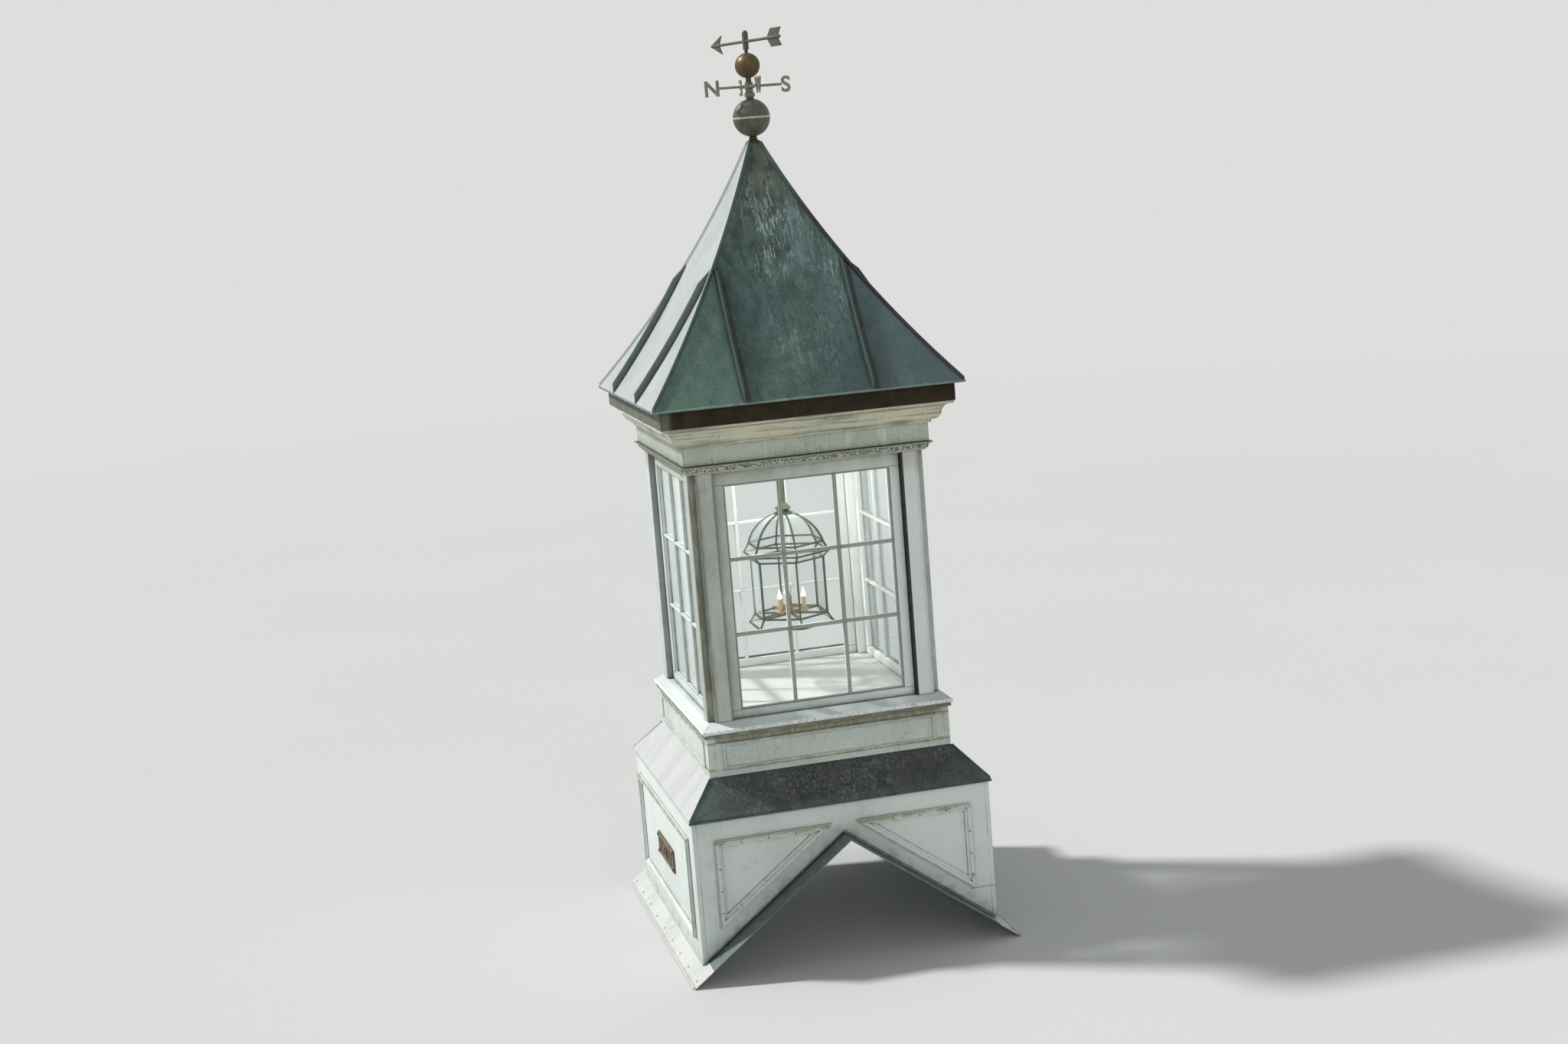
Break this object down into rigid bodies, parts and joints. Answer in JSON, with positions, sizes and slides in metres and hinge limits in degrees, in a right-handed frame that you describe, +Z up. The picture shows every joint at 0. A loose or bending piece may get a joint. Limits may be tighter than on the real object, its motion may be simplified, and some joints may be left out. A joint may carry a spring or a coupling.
{
  "type": "roof cupola",
  "caption": "Square white cupola that straddles a roof ridge, with glazed sides, a concave copper hip roof, a lantern inside and a turning weathervane.",
  "frame": {"origin": "on the level of the lowest edges of the side flashing, midway between them in both directions", "axes": "+Z up, -Y out of the front gable face, +X to the right of someone who faces the front; the ridge that the base straddles runs along Y"},
  "size_m": [1.34, 1.42, 3.6639],
  "materials": {
    "white_wood": "weathered white paint",
    "cream_wood": "weathered cream paint",
    "copper_flashing": "patinated copper sheet",
    "painted_flashing": "white painted metal",
    "skirt_copper": "dark patinated copper sheet",
    "roof_copper": "green patinated copper sheet",
    "brown_copper": "brown weathered copper",
    "ball_copper": "dull weathered copper",
    "vane_brass": "brown weathered brass",
    "vane_copper": "dark weathered copper",
    "iron": "dark brown, dull",
    "window_glass": "clear",
    "lantern_metal": "dark aged brass strip",
    "lantern_glass": "clear",
    "candle": "amber"
  },
  "bodies": {
    "body": {"flashing_front": "copper_flashing", "flashing_back": "copper_flashing", "flashing_left": "painted_flashing", "flashing_right": "painted_flashing", "base_front_wall": "white_wood", "base_back_wall": "white_wood", "base_left_wall": "white_wood", "base_right_wall": "white_wood", "base_top": "white_wood", "base_mouldings": "white_wood", "vent_plate": "iron", "skirt_roof": "skirt_copper", "dado_walls": "white_wood", "dado_mouldings": "white_wood", "sill": "white_wood", "deck": "white_wood", "corner_posts": "white_wood", "sash_front": "white_wood", "sash_back": "white_wood", "sash_left": "white_wood", "sash_right": "white_wood", "window_glass": "window_glass", "head_boards": "white_wood", "bed_moulding": "cream_wood", "frieze": "white_wood", "crown_moulding": "cream_wood", "ceiling": "white_wood", "fascia": "brown_copper", "roof_front": "roof_copper", "roof_back": "roof_copper", "roof_left": "roof_copper", "roof_right": "roof_copper", "batten_seams": "brown_copper", "hip_caps": "brown_copper", "finial_neck": "brown_copper", "large_ball": "ball_copper", "vane_rod": "vane_brass", "compass_arms": "vane_brass", "small_ball": "vane_brass", "lantern_stem": "lantern_metal", "lantern_frame": "lantern_metal", "lantern_glass": "lantern_glass", "lantern_candles": "candle"},
    "vane": {"vane_arrow": "vane_copper"}
  },
  "joints": [
    {"name": "vane_spin", "type": "hinge", "parent": "body", "child": "vane", "pos_m": [0, 0, 3.62], "axis": [0, 0, 1], "continuous": true}
  ]
}
